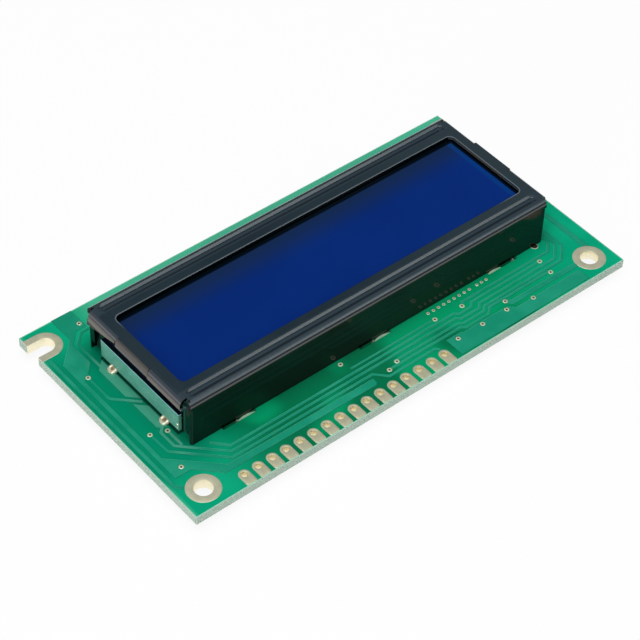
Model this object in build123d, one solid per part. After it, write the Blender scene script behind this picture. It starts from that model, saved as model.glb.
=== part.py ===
from build123d import *
import os
from math import cos, pi, radians, sin, tan

# A display module of 16 by 2 characters: a glass display over an edge light, held down on a green
# circuit board by a folded sheet-steel bezel whose six tabs pass through the board and are twisted.
# Millimetres. X runs along the board, Y from the edge with the pads to the back edge, Z is up.
# The origin is under the middle of the board, on the surface that the ends of the tabs stand on.

# Circuit board
board_length = 84.0
board_width = 44.0
board_thickness = 1.6
copper = 0.05

# Fixing holes at the front corners, open slots at the back corners, and their plated lands
fixing_inset_x = 4.0
fixing_inset_y = 3.65
fixing_radius = 1.45
fixing_land_radius = 2.65
slot_reach = 2.3
plating = 0.08

# Row of plated pads along the front edge
pad_count = 16
pad_pitch = 2.54
first_pad = 10.08
pad_width = 1.85
pad_hole_inset = 2.07
pad_hole_radius = 0.5

# Small filled vias that join the two copper sides. The lengths along the row of fine ones are shares
# of the free stretch between the last pad and the right fixing hole.
via_radius = 0.45
fine_via_share = 0.0333
fine_via_radius_share = 0.0094
fine_via_gap = 0.9
earth_hole_radius = 0.75

# Sides of the regular outlines that stand for small circles, to keep the model light
via_sides = 8
bore_sides = 8
land_sides = 12
drop_sides = 20
fixing_land_sides = 28

# Copper tracks under the solder mask
track_width = 0.45
strip_width = 0.6
copper_clearance = 0.3

# Folded bezel
sheet = 0.5
bezel_height = 8.65
bezel_front = 10.95
bezel_back = 7.85
bezel_margin = 6.4
bezel_shift = 0.1
wall_setback = 0.95
bend_radius = 1.05
window_margin = 2.575
window_front = 4.15
window_back = 4.4
window_radius = 1.0
groove_margin = 1.85
groove_width = 1.63
groove_inset = 1.87
groove_depth = 0.4
groove_flank = 0.25

# Hem at each end of the bezel: two stretches with a soft bend and a middle tab with a sharp one.
# The foot of the back stretch slants down towards the back corner.
hem_drop = 1.65
hem_angle = 80.0
hem_tab_radius = 0.55
hem_tab_angle = 78.0
hem_tab_length = 7.8
hem_tab_offset = 0.55
hem_tab_drop = 1.4
hem_slit = 0.4
hem_slit_top = 0.75
hem_back_drop = 2.55
hem_back_rise = 1.3
hem_root = 1.4
corner_relief = 0.9
narrow_relief = 0.25

# Ear that closes each bottom corner of the bezel
ear_length = 1.45
ear_foot = 1.75
ear_head = 1.5
ear_heel = 0.7
ear_slope = 0.25
ear_bend = 0.4

# Tabs through the board, the slots that they pass and the tinned lands beside the slots
tab_share = 0.375
tab_width = 2.0
tab_drop = 1.6
tab_twist = 38.0
tab_neck = 0.1
tab_turn = 0.6
tab_slot_length = 2.8
tab_slot_clearance = 0.4
tab_land_length = 5.9
tab_land_depth = 1.55
tab_offset = -1.7
last_tab_offset = 1.0

# Glass display
glass = 1.1
glass_edge_gap = 0.3
glass_end_gap = 0.3
polariser = 0.15
polariser_margin = 0.4
window_overlap = 1.1
seal = 0.05
seal_width = 1.2
ledge = 2.75

# Rubber connector strips between the board and the ledges of the front glass
strip_inset = 1.35
strip_thickness = 2.0
strip_end_gap = 1.4

# Edge light
frame_wall = 0.8
frame_floor = 0.5
frame_gap = 0.3
guide_gap = 0.1
reflector = 0.2
diffuser = 0.2
diffuser_gap = 1.5
light_start = 1.4
light_board_sheet = 0.5
light_board_end_gap = 3.05
light_board_foot = 0.4
light_board_head = 4.75
chip_count = 4
chip_share = 0.7
chip_height = 1.4
chip_depth = 0.8
joint_inset = 3.15
joint_radius = 0.68
joint_middle = 0.5
joint_top = 0.25
joint_shoulder = 0.2
joint_height = 0.5

# Bare chips under drops of resin, and small parts, all on the back of the board
drop_radius = 6.0
drop_height = 1.3
drop_shoulder = 4.9
drop_shoulder_height = 0.75
drop_crown = 2.6
drop_pitch = 27.0
drop_row = 20.0
die_size = 3.6
die_thickness = 0.4
small_part_length = 2.0
small_part_width = 1.25
small_part_height = 0.55
small_part_cap = 0.4
resistor_count = 5
capacitor_count = 2
small_part_pitch = 3.2
small_part_row = 5.0
fan_track_width = 0.3
fan_first_bend = 5.0
fan_bend_step = 0.45
fan_pitch = 0.6

# Levels and edges that follow from the sizes above
back_face = tab_drop
front_face = back_face + board_thickness
seat = front_face + copper
left = -board_length / 2
right = board_length / 2
front = -board_width / 2
back = board_width / 2
last_pad = left + first_pad + pad_pitch * (pad_count - 1)
free_stretch = right - fixing_inset_x - last_pad
fine_via_pitch = fine_via_share * free_stretch
fine_via_radius = fine_via_radius_share * free_stretch
bezel_length = board_length - 2 * bezel_margin
bezel_depth = board_width - bezel_front - bezel_back
bezel_y = front + bezel_front + bezel_depth / 2
wall_length = bezel_length - 2 * wall_setback
tab_pitch = tab_share * wall_length
window_length = bezel_length - 2 * window_margin
window_width = bezel_depth - window_front - window_back
groove_length = bezel_length - 2 * groove_margin
plate_back = bezel_height - sheet
ear_top = bezel_height - ear_head
glass_top = plate_back - groove_depth
glass_length = wall_length - 2 * sheet - 2 * glass_end_gap
glass_depth = bezel_depth - 2 * sheet - 2 * glass_edge_gap
rear_glass_depth = glass_depth - 2 * ledge
frame_length = glass_length - light_start + glass_end_gap
board_level = -copper
frame_depth = rear_glass_depth - frame_gap
frame_top = glass_top - 2 * glass - seal - polariser
guide = frame_top - board_level - frame_floor - reflector - diffuser - diffuser_gap
guide_depth = frame_depth - 2 * frame_wall - 2 * guide_gap
chip_pitch = guide_depth / chip_count
light_board_length = bezel_depth - 2 * light_board_end_gap
light_board_top = bezel_height - light_board_head
joint_spacing = light_board_length - 2 * joint_inset


def from_left(x, y):
    """A point of the board measured from its front left corner."""
    return (left + x, front + y)


def from_right(x, y):
    """A point of the board measured from its front right corner, x to the left."""
    return (right - x, front + y)


def from_back_left(x, y):
    """A point of the board measured from its back left corner, y towards the front."""
    return (left + x, back - y)


def from_back_right(x, y):
    """A point of the board measured from its back right corner, x to the left and y towards the front."""
    return (right - x, back - y)


def past_pads(share, y):
    """A point by its share of the free stretch past the last pad, and its distance from the front edge."""
    return (last_pad + share * free_stretch, front + y)


def on_bezel(shape):
    """Moves a piece from the bezel's own frame, with its feet at height 0, to its place on the board."""
    return Pos(bezel_shift, bezel_y, seat) * shape


def slab(length, depth, bottom, top, x=0.0, y=0.0):
    """A flat block centred on x, y between two heights."""
    block = Box(length, depth, top - bottom, align=(Align.CENTER, Align.CENTER, Align.MIN))
    return Pos(x, y, bottom) * block


def drilled(outline, hole, bottom, top):
    """A plate with the given outline and holes between two heights."""
    return Pos(0, 0, bottom) * extrude(outline - hole, top - bottom)


def corner_reach(radius, sides):
    """Distance to the corners of the regular outline that stands for a circle of this radius."""
    return radius * (1 + cos(pi / sides)) / 2 / cos(pi / sides)


def small_round(radius, sides):
    return RegularPolygon(corner_reach(radius, sides), sides)


def ring(radius, level, sides):
    """Corners of the regular outline of small_round at a height."""
    reach = corner_reach(radius, sides)
    turns = [2 * pi * i / sides for i in range(sides)]
    return [Vector(reach * cos(turn), reach * sin(turn), level) for turn in turns]


def faceted(rings):
    """A solid through closed rings of corners, one below another, with two flat facets to each side."""
    faces = [Face(Wire.make_polygon(rings[0])), Face(Wire.make_polygon(rings[-1]))]
    for upper, lower in zip(rings, rings[1:]):
        for i in range(len(upper)):
            j = (i + 1) % len(upper)
            faces.append(Face(Wire.make_polygon([upper[i], upper[j], lower[i]])))
            faces.append(Face(Wire.make_polygon([upper[j], lower[j], lower[i]])))
    return Solid(Shell(faces))


def both_sides(shape):
    """A shape and its mirror image about the bezel's cross plane."""
    return shape + mirror(shape, about=Plane.YZ)


# Outlines on the board

def pad_centres():
    return [from_left(first_pad + pad_pitch * i, pad_hole_inset) for i in range(pad_count)]


def pad_lands():
    """U-shaped lands that run from each plated hole to the board's front edge."""
    tongue = Pos(0, -pad_hole_inset / 2) * Rectangle(pad_width, pad_hole_inset)
    end = RegularPolygon(pad_width / 2, land_sides, major_radius=False)
    land = end + tongue
    return Sketch() + [Pos(*centre) * land for centre in pad_centres()]


def fixing_centres():
    return [from_left(fixing_inset_x, fixing_inset_y), from_right(fixing_inset_x, fixing_inset_y)]


def fixing_holes(radius):
    return Sketch() + [Pos(*centre) * Circle(radius) for centre in fixing_centres()]


def fixing_lands_outline():
    """Lands of the fixing holes and corner slots, up to the board's edge."""
    disc = RegularPolygon(fixing_land_radius, fixing_land_sides, major_radius=False)
    discs = Sketch() + [Pos(*centre) * disc for centre in fixing_centres()]
    return (discs + corner_slots(fixing_land_radius, disc)) & board_outline()


def corner_slots(radius, end=None):
    """Slots that open at the two ends of the board, with round inner ends."""
    row = board_width - fixing_inset_y
    mouth = Pos(-slot_reach, 0) * Rectangle(2 * slot_reach, 2 * radius)
    slot = (end or Circle(radius)) + mouth
    left_slot = Pos(*from_left(slot_reach, row)) * slot
    right_slot = Pos(*from_right(slot_reach, row)) * Rot(0, 0, 180) * slot
    return left_slot + right_slot


def board_outline():
    return Rectangle(board_length, board_width)


def tab_places():
    """Where each tab passes the board, as (x of the tab, x of its land, side of the bezel)."""
    places = []
    for side in (-1, 1):
        for i, offset in enumerate((tab_offset, tab_offset, last_tab_offset)):
            land = (i - 1) * tab_pitch
            places.append((land + offset, land, side))
    return places


def tab_row(side):
    """The middle of the bezel's front or back wall."""
    return bezel_y + side * (bezel_depth - sheet) / 2


def tab_slots():
    depth = sheet + 2 * tab_slot_clearance
    slot = Rectangle(tab_slot_length, depth)
    return Sketch() + [Pos(x, tab_row(side)) * slot for x, land, side in tab_places()]


def tab_lands():
    """Tinned lands beside the slots, which the feet of the bezel's walls stand on."""
    land = Rectangle(tab_land_length, tab_land_depth)
    shift = tab_land_depth / 2 - sheet / 2 - tab_slot_clearance
    return Sketch() + [Pos(x, tab_row(side) - side * shift) * land for _, x, side in tab_places()]


def via_centres():
    """The larger vias, by eye where the tracks end."""
    left_ones = [(4.0, 16.35), (6.5, 15.45), (3.9, 8.75), (34.55, 10.1), (39.6, 4.75), (41.6, 5.4)]
    back_ones = [(8.9, 3.0), (3.5, 13.0)]
    right_ones = [(0.117, 8.45), (0.12, 3.25), (0.277, 3.25), (0.28, 8.05), (0.434, 3.25), (0.466, 4.7),
                  (0.591, 2.6), (0.78, 5.05), (0.789, 7.85)]
    centres = [from_left(x, y) for x, y in left_ones]
    centres += [from_back_left(x, y) for x, y in back_ones]
    return centres + [past_pads(share, y) for share, y in right_ones]


def fine_via_centres():
    """A row of small vias in front of the bezel, in groups of nine and three."""
    row = bezel_front - fine_via_gap
    long_group = [0.1185 + fine_via_share * i for i in range(9)]
    short_group = [0.434 + 0.92 * fine_via_share * i for i in range(3)]
    return [past_pads(share, row) for share in long_group + short_group]


def earth_hole_centre():
    return past_pads(0.843, bezel_front - 0.05)


def via_caps(grow=0.0):
    large = [Pos(*centre) * small_round(via_radius + grow, via_sides) for centre in via_centres()]
    fine = [Pos(*centre) * small_round(fine_via_radius + grow, via_sides) for centre in fine_via_centres()]
    earth = Pos(*earth_hole_centre()) * small_round(earth_hole_radius + grow, land_sides)
    return Sketch() + large + fine + [earth]


def earth_bore():
    return Pos(*earth_hole_centre()) * small_round(earth_hole_radius / 2, bore_sides)


def pad_bores(radius):
    return Sketch() + [Pos(*centre) * small_round(radius, bore_sides) for centre in pad_centres()]


def joint_places():
    """The two solder joints at the foot of the light board, in the bezel's frame."""
    x = -wall_length / 2
    return [(x, side * joint_spacing / 2) for side in (-1, 1)]


def joint_discs():
    centres = [(x + bezel_shift, y + bezel_y) for x, y in joint_places()]
    return Sketch() + [Pos(*centre) * small_round(joint_radius, land_sides) for centre in centres]


# Copper under the solder mask

def track(*points, width=track_width):
    """Copper of one width along straight runs, mitred at each turn."""
    path = [Vector(*point) for point in points]
    one_side = []
    other_side = []
    for i, point in enumerate(path):
        after = (path[min(i + 1, len(path) - 1)] - path[min(i, len(path) - 2)]).normalized()
        before = (path[max(i, 1)] - path[max(i - 1, 0)]).normalized()
        along = (before + after).normalized()
        across = Vector(-along.Y, along.X) * (width / 2 / along.dot(after))
        one_side.append(point + across)
        other_side.append(point - across)
    return make_face(Polyline(*one_side, *reversed(other_side), close=True))


def pour(*points):
    """A flat field of copper with straight edges."""
    return make_face(Polyline(*points, close=True))


def left_tracks():
    """Tracks that come round the front left corner of the bezel, and those beside the light board."""
    return [
        track(from_left(9.9, 9.85), from_left(11.95, 7.55), past_pads(0.214, 7.55), past_pads(0.233, 7.0),
              past_pads(0.309, 7.0), past_pads(0.334, 7.75), past_pads(0.789, 7.8)),
        track(from_left(6.9, 17.0), from_left(5.5, 15.7), from_left(5.5, 12.5), from_left(11.35, 6.6),
              past_pads(0.202, 6.6), past_pads(0.2175, 6.05), past_pads(0.337, 6.05), past_pads(0.359, 6.8),
              from_right(8.4, 6.85), from_right(6.1, 9.15), from_back_right(6.1, 10.0)),
        track(from_left(4.0, 16.35), from_left(4.15, 12.2), from_left(10.75, 5.6), from_left(37.0, 5.6),
              from_left(38.8, 3.75), from_left(47.8, 3.75), from_left(48.2, 3.3), from_left(48.2, 2.6)),
        track(from_left(6.5, 15.45), from_left(6.5, 11.9)),
        track(from_back_left(3.5, 13.0), from_back_left(3.5, 18.3), from_back_left(7.0, 21.8)),
        track(from_back_left(9.4, 4.75), from_back_left(8.05, 4.75), from_back_left(6.25, 6.55),
              from_back_left(6.25, 12.2), from_back_left(7.0, 13.0)),
        track(from_left(1.9, 5.4), from_left(0.95, 6.35), from_back_left(0.95, 5.8), width=strip_width),
    ]


def right_tracks():
    """Tracks that run below the row of fine vias and turn up past the right end of the bezel."""
    return [
        track(from_left(41.6, 5.4), from_left(42.2, 5.6), past_pads(0.189, 5.6), past_pads(0.2065, 5.1),
              past_pads(0.34, 5.1), past_pads(0.365, 5.9), from_right(7.9, 5.9), from_right(5.4, 8.4),
              from_back_right(5.4, 10.0)),
        track(from_left(39.6, 4.75), past_pads(0.18, 4.75), past_pads(0.1985, 4.2), past_pads(0.346, 4.2),
              past_pads(0.381, 5.25), past_pads(0.7675, 5.25), past_pads(0.78, 5.05)),
        track(past_pads(0.28, 8.05), past_pads(0.299, 8.65), from_right(8.2, 8.65), from_right(6.75, 10.1),
              from_back_right(6.75, 10.0)),
        track(from_left(35.2, 8.45), past_pads(0.117, 8.45), width=0.8 * track_width),
        track(past_pads(0.466, 4.7), past_pads(0.491, 3.9), from_right(6.6, 3.8), width=0.9),
        track(from_right(2.6, 5.6), from_back_right(2.6, 6.0), width=1.0),
    ]


def pours():
    """Wide fields of copper: along the pads, in the front right corner and up the left end."""
    return [
        pour(from_left(1.95, 7.5), from_left(4.7, 7.5), from_left(8.25, 3.9), from_left(36.1, 3.6),
             from_left(36.5, 4.0), from_left(36.5, 4.9), from_left(9.4, 5.05), from_left(2.7, 11.7),
             from_back_left(2.7, 13.4), from_back_left(4.2, 12.1), from_back_left(5.55, 10.7),
             from_back_left(5.55, 6.3), from_back_left(7.6, 4.1), from_back_left(9.4, 4.1),
             from_back_left(9.4, 0), from_back_left(5.8, 0), from_back_left(5.8, 4.9),
             from_back_left(1.95, 8.8)),
        pour(past_pads(0.0666, 0.4), from_right(7.1, 0.4), from_right(7.1, 2.3), from_right(7.5, 2.7),
             past_pads(0.4815, 2.7), past_pads(0.45, 3.7), past_pads(0.1703, 3.7), past_pads(0.158, 4.0),
             past_pads(0.0666, 4.0)),
        pour(from_left(5.6, 16.9), from_left(6.2, 16.3), from_left(8.2, 16.3), from_back_left(8.2, 11.4),
             from_back_left(7.0, 11.4), from_back_left(5.6, 12.8)),
    ]


def front_copper_outline():
    lands = pad_lands() + fixing_lands_outline()
    bare = lands + tab_lands() + tab_slots() + via_caps() + joint_discs()
    tracks = Sketch() + left_tracks() + right_tracks()
    gaps = Sketch() + [track(from_back_left(3.5, 18.3), from_back_left(8.2, 23.0), width=3 * track_width)]
    gaps += Pos(*from_left(6.5, 15.45)) * small_round(via_radius + copper_clearance, via_sides)
    fields = Sketch() + pours() - gaps
    return fields + tracks - bare


def back_copper_outline():
    """A fan of tracks on the back, from the edge pads to the nearer side of the first drop of resin."""
    fan_centre = -drop_pitch / 2
    tracks = []
    for i, (x, y) in enumerate(pad_centres()):
        lane = fan_centre + (i - (pad_count - 1) / 2) * fan_pitch
        order = i if x < lane else pad_count - 1 - i
        bend = front + fan_first_bend + fan_bend_step * min(i, order)
        reach = back - drop_row
        if abs(lane - x) < track_width:
            tracks.append(track((x, y), (x, reach), width=fan_track_width))
        else:
            rise = abs(lane - x) / 2
            tracks.append(track((x, y), (x, bend), (lane, bend + rise), (lane, reach), width=fan_track_width))
    drops = Sketch() + [Pos(*place) * small_round(drop_radius, drop_sides) for place in drop_places()]
    bare = pad_lands() + tab_slots() + tab_lands() + drops
    return (Sketch() + tracks) - bare - via_caps(copper_clearance)


# Pieces of the board

def circuit_board():
    """Laminate with its fixing holes, corner slots, pad holes and slots for the bezel's tabs."""
    holes = fixing_holes(fixing_radius + plating) + corner_slots(fixing_radius + plating)
    holes += pad_bores(pad_hole_radius + plating) + tab_slots() + earth_bore()
    return drilled(board_outline(), holes, back_face, front_face)


def plated(land, bore, wall):
    """Plating of a hole: a land on each face of the board and the lining of the bore between them."""
    upper = drilled(land, bore, front_face, seat)
    lower = drilled(land, bore, back_face - copper, back_face)
    return upper + drilled(wall, bore, back_face, front_face) + lower


def edge_pads():
    return plated(pad_lands(), pad_bores(pad_hole_radius), pad_bores(pad_hole_radius + plating))


def fixing_lands():
    """Plating of the two round fixing holes and of the two open slots."""
    bore = fixing_holes(fixing_radius) + corner_slots(fixing_radius)
    wall = fixing_holes(fixing_radius + plating) + corner_slots(fixing_radius + plating)
    return plated(fixing_lands_outline(), bore, wall & board_outline())


def bezel_lands():
    """Tinned lands round the tab slots, on both faces of the board."""
    upper = drilled(tab_lands(), tab_slots(), front_face, seat)
    return upper + drilled(tab_lands(), tab_slots(), back_face - copper, back_face)


def vias():
    return drilled(via_caps(), tab_slots() + earth_bore(), front_face, seat)


def front_copper():
    return drilled(front_copper_outline(), tab_slots(), front_face, seat)


def back_copper():
    return drilled(back_copper_outline(), tab_slots(), back_face - copper, back_face)


# The folded bezel, in its own frame

def channel():
    """Long section of the bezel: the plate and its two walls, bent at the top corners."""
    outer = Rectangle(bezel_depth, bezel_height)
    outer = fillet(outer.vertices().group_by(Axis.Y)[-1], bend_radius)
    inner = Pos(0, -sheet / 2) * Rectangle(bezel_depth - 2 * sheet, plate_back)
    inner = fillet(inner.vertices().group_by(Axis.Y)[-1], bend_radius - sheet)
    section = Plane.YZ * Pos(0, bezel_height / 2) * (outer - inner)
    return extrude(section, wall_length / 2, both=True)


def hem_section(radius, angle, drop):
    """Section of an end hem on the side of +X: a bend of the plate and the short flat below it."""
    turn = radians(angle)
    flat = (drop - radius * (1 - cos(turn))) / sin(turn)
    start = bezel_length / 2 - radius * sin(turn) - flat * cos(turn)
    centre = (start, bezel_height - radius)
    along = Vector(cos(turn), -sin(turn)) * flat
    outer_arc = CenterArc(centre, radius, 90, -angle)
    inner_arc = CenterArc(centre, radius - sheet, 90, -angle)
    outer_flat = Line(outer_arc @ 1, outer_arc @ 1 + along)
    inner_flat = Line(inner_arc @ 1, inner_arc @ 1 + along)
    foot = Line(outer_flat @ 1, inner_flat @ 1)
    root = bezel_length / 2 - hem_root
    plate = Polyline(outer_arc @ 0, (root, bezel_height), (root, plate_back), inner_arc @ 0)
    return make_face([outer_arc, outer_flat, foot, inner_flat, inner_arc, plate])


def hem_stretch(radius, angle, drop, y0, y1):
    section = Plane.XZ * hem_section(radius, angle, drop)
    return Pos(0, (y0 + y1) / 2, 0) * extrude(section, (y1 - y0) / 2, both=True)


def hem_wedge(start, end):
    """Waste below the slanted foot of the back stretch, from its inner end to the back corner."""
    foot = bezel_height - hem_back_drop
    corners = [(start, foot - sheet), (end, foot - sheet), (end, foot), (start, foot + hem_back_rise)]
    outline = Polyline(*corners, close=True)
    return Pos(bezel_length / 2, 0, 0) * extrude(Plane.YZ * make_face(outline), 2 * hem_root, both=True)


def hem(slit):
    """Hem at the +X end: stretches at the front and back, and the middle tab with a slit behind it."""
    edge = bezel_depth / 2 - bend_radius
    tab_front = hem_tab_offset - hem_tab_length / 2
    tab_back = hem_tab_offset + hem_tab_length / 2
    front_stretch = hem_stretch(bend_radius, hem_angle, hem_drop, -edge, tab_front)
    middle_tab = hem_stretch(hem_tab_radius, hem_tab_angle, hem_tab_drop, tab_front, tab_back)
    back_stretch = hem_stretch(bend_radius, hem_angle, hem_back_drop, tab_back, edge)
    back_stretch -= hem_wedge(tab_back, edge)
    if slit:
        foot = bezel_height - hem_back_drop - sheet
        top = bezel_height - hem_slit_top
        back_stretch -= slab(2 * hem_root, slit, foot, top, bezel_length / 2, tab_back + slit / 2)
    return front_stretch + middle_tab + back_stretch


def hem_room():
    """Space at the +X end of the plate that the hem takes."""
    edge = bezel_depth / 2 - bend_radius
    middle = bezel_length / 2 - hem_root + bezel_length / 2
    return slab(bezel_length, 2 * edge, plate_back - sheet, bezel_height, middle)


def hem_relief(width, side):
    """Square notch that parts the hem from the bend of one wall, at the +X end."""
    edge = side * (bezel_depth / 2 - bend_radius)
    start = bezel_length / 2 - hem_root
    return slab(bezel_length, width, ear_top, bezel_height + sheet, start + bezel_length / 2, edge)


def groove(length, width, top):
    """Tapered body of a pressed groove: a slot outline at the top, narrower by its depth below."""
    upper = Pos(0, 0, top) * SlotOverall(length, width)
    lower = Pos(0, 0, top - groove_depth) * SlotOverall(length - 2 * groove_flank, width - 2 * groove_flank)
    return loft([upper.face(), lower.face()], ruled=True)


def ear():
    """Return flange at the foot of a wall's +X end, at the front."""
    heel = -bezel_depth / 2
    toe = heel + ear_length
    side = Polyline((heel, ear_foot - ear_slope), (heel + ear_heel, ear_foot), (toe, ear_foot),
                    (toe, ear_top), (heel, ear_top), close=True)
    face = Plane.YZ * make_face(side)
    return Pos(wall_length / 2 - sheet, 0, 0) * extrude(face, sheet)


def ear_corner():
    """Waste outside the round bend between a wall and its ear, at the front of the +X end."""
    x = wall_length / 2 - ear_bend
    y = ear_bend - bezel_depth / 2
    block = slab(ear_bend, ear_bend, 0, ear_top, x + ear_bend / 2, y - ear_bend / 2)
    return block - Pos(x, y, 0) * Cylinder(ear_bend, 3 * bezel_height)


def tab_corners(level, angle):
    """Corners of a tab's section at a height, turned about its middle."""
    corners = [(-1, -1), (1, -1), (1, 1), (-1, 1)]
    turn = Rot(0, 0, angle)
    return [(turn * Pos(x * tab_width / 2, y * sheet / 2, level)).position for x, y in corners]


def twisted_tab():
    """A tab below the wall: straight through the board, then twisted behind it."""
    neck = board_thickness + copper + tab_neck
    straight = slab(tab_width, sheet, -neck, 0)
    twisted = faceted([tab_corners(-neck, 0), tab_corners(-neck - tab_turn, tab_twist)])
    section = Rot(0, 0, tab_twist) * Rectangle(tab_width, sheet)
    turned = Pos(0, 0, -seat) * extrude(section, seat - neck - tab_turn)
    return straight + twisted + turned


def bezel():
    """The bezel as one folded sheet with its window, pressed grooves, end hems, ears and tabs."""
    body = channel() - both_sides(hem_room())
    body += hem(0) + mirror(hem(hem_slit), about=Plane.YZ)
    body -= both_sides(hem_relief(narrow_relief, 1)) + hem_relief(narrow_relief, -1)
    body -= mirror(hem_relief(corner_relief, -1), about=Plane.YZ)
    thickening = sheet * tan(radians(45 / 2))
    for side in (-1, 1):
        row = side * (bezel_depth / 2 - groove_inset)
        boss = groove(groove_length + 2 * thickening, groove_width + 2 * thickening, plate_back)
        body += Pos(0, row, 0) * boss
        body -= Pos(0, row, 0) * groove(groove_length, groove_width, bezel_height)
    ears = both_sides(ear())
    waste = both_sides(ear_corner())
    body += ears + mirror(ears, about=Plane.XZ)
    body -= waste + mirror(waste, about=Plane.XZ)
    window_y = -bezel_depth / 2 + window_front + window_width / 2
    window = RectangleRounded(window_length, window_width, window_radius)
    body -= Pos(0, window_y, 0) * extrude(window, 2 * bezel_height)
    for x, _, side in tab_places():
        body += Pos(x - bezel_shift, side * (bezel_depth - sheet) / 2, 0) * twisted_tab()
    return on_bezel(body)


# The glass display and its connectors, in the bezel's frame

def front_glass():
    return on_bezel(slab(glass_length, glass_depth, glass_top - glass, glass_top))


def rear_glass_top():
    return glass_top - glass - seal


def rear_glass():
    top = rear_glass_top()
    return on_bezel(slab(glass_length, rear_glass_depth, top - glass, top))


def display_seal():
    """The thin printed seal that holds the two glasses together round the liquid crystal."""
    top = glass_top - glass
    whole = slab(glass_length, rear_glass_depth, top - seal, top)
    inside = slab(glass_length - 2 * seal_width, rear_glass_depth - 2 * seal_width, top - seal, top)
    return on_bezel(whole - inside)


def front_polariser():
    """Film on the front glass, a little larger than the window and clear of the pressed grooves."""
    length = window_length + 2 * window_overlap
    window_y = -bezel_depth / 2 + window_front + window_width / 2
    depth = window_width + window_overlap
    return on_bezel(slab(length, depth, glass_top, glass_top + polariser, 0, window_y))


def rear_polariser():
    top = rear_glass_top() - glass
    length = glass_length - 2 * polariser_margin
    depth = rear_glass_depth - 2 * polariser_margin
    return on_bezel(slab(length, depth, top - polariser, top))


def connector_strip(side):
    """Rubber strip with fine carbon layers, pressed between the board and the front glass."""
    row = side * (bezel_depth / 2 - strip_inset - strip_thickness / 2)
    length = glass_length - 2 * strip_end_gap
    return on_bezel(slab(length, strip_thickness, board_level, glass_top - glass, 0, row))


# The edge light, in the bezel's frame

def frame_left():
    return -glass_length / 2 - glass_end_gap + light_start


def light_frame():
    """Tray with a floor and three walls, open towards the light chips, that carries the display."""
    middle = frame_left() + frame_length / 2
    tray = slab(frame_length, frame_depth, board_level, frame_top, middle)
    pocket_length = frame_length - frame_wall
    pocket_depth = frame_depth - 2 * frame_wall
    pocket = slab(pocket_length, pocket_depth, board_level + frame_floor, frame_top, middle - frame_wall / 2)
    return on_bezel(tray - pocket)


def light_layer(bottom, thickness):
    """A flat layer that lies in the tray with a small gap round it."""
    length = frame_length - frame_wall - guide_gap
    return on_bezel(slab(length, guide_depth, bottom, bottom + thickness, frame_left() + length / 2))


def reflector_sheet():
    return light_layer(board_level + frame_floor, reflector)


def light_guide():
    return light_layer(board_level + frame_floor + reflector, guide)


def diffuser_sheet():
    return light_layer(board_level + frame_floor + reflector + guide, diffuser)


def light_board():
    """Narrow board on edge in the bezel's open left end, which carries the light chips."""
    x = -wall_length / 2 + light_board_sheet / 2
    return on_bezel(slab(light_board_sheet, light_board_length, light_board_foot, light_board_top, x))


def light_chips():
    """Side-lighting chips on the inner face of the light board, level with the light guide."""
    x = -wall_length / 2 + light_board_sheet + chip_depth / 2
    level = board_level + frame_floor + reflector + guide / 2
    chips = []
    for i in range(chip_count):
        y = (i - (chip_count - 1) / 2) * chip_pitch
        bottom = level - chip_height / 2
        chips.append(slab(chip_depth, chip_share * chip_pitch, bottom, bottom + chip_height, x, y))
    return on_bezel(Compound(chips))


def solder_joints():
    """Drawn-up drops of solder between the main board and the foot of the light board."""
    rings = [(joint_radius, 0), (joint_middle, joint_shoulder), (joint_top, joint_height)]
    drop = faceted([ring(radius, board_level + height, land_sides) for radius, height in rings])
    joints = Part() + [Pos(x, y, 0) * drop for x, y in joint_places()]
    return on_bezel(joints) - light_board()


# Chips and small parts on the back of the board

def drop_places():
    return [(side * drop_pitch / 2, back - drop_row) for side in (-1, 1)]


def die():
    return slab(die_size, die_size, back_face - die_thickness, back_face)


def resin_drop():
    """A low drop of resin on the board's back, hollowed where it covers the chip."""
    rings = [(drop_radius, 0), (drop_shoulder, drop_shoulder_height), (drop_crown, drop_height)]
    drop = faceted([ring(radius, back_face - depth, drop_sides) for radius, depth in rings])
    return drop - die()


def small_part_places(first, count):
    start = -(resistor_count + capacitor_count - 1) / 2
    return [((start + first + i) * small_part_pitch, back - small_part_row) for i in range(count)]


def small_parts(first, count):
    """Ceramic bodies of small parts that stand across the row, without their metal ends."""
    length = small_part_length - 2 * small_part_cap
    body = slab(small_part_width, length, back_face - small_part_height, back_face)
    return Compound([Pos(x, y, 0) * body for x, y in small_part_places(first, count)])


def small_part_ends():
    shift = (small_part_length - small_part_cap) / 2
    end = slab(small_part_width, small_part_cap, back_face - small_part_height, back_face)
    places = small_part_places(0, resistor_count + capacitor_count)
    return Compound([Pos(x, y + side * shift, 0) * end for x, y in places for side in (-1, 1)])


def build():
    """Every piece of the module by its name."""
    first_drop, second_drop = drop_places()
    return {
        "circuit_board": circuit_board(),
        "front_copper": front_copper(),
        "back_copper": back_copper(),
        "edge_pads": edge_pads(),
        "fixing_lands": fixing_lands(),
        "bezel_lands": bezel_lands(),
        "vias": vias(),
        "bezel": bezel(),
        "front_polariser": front_polariser(),
        "front_glass": front_glass(),
        "display_seal": display_seal(),
        "rear_glass": rear_glass(),
        "rear_polariser": rear_polariser(),
        "front_connector_strip": connector_strip(-1),
        "rear_connector_strip": connector_strip(1),
        "light_frame": light_frame(),
        "reflector_sheet": reflector_sheet(),
        "light_guide": light_guide(),
        "diffuser_sheet": diffuser_sheet(),
        "light_board": light_board(),
        "light_chips": light_chips(),
        "solder_joints": solder_joints(),
        "controller_die": Pos(*first_drop) * die(),
        "controller_drop": Pos(*first_drop) * resin_drop(),
        "driver_die": Pos(*second_drop) * die(),
        "driver_drop": Pos(*second_drop) * resin_drop(),
        "resistors": small_parts(0, resistor_count),
        "capacitors": small_parts(resistor_count, capacitor_count),
        "small_part_ends": small_part_ends(),
    }


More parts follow.
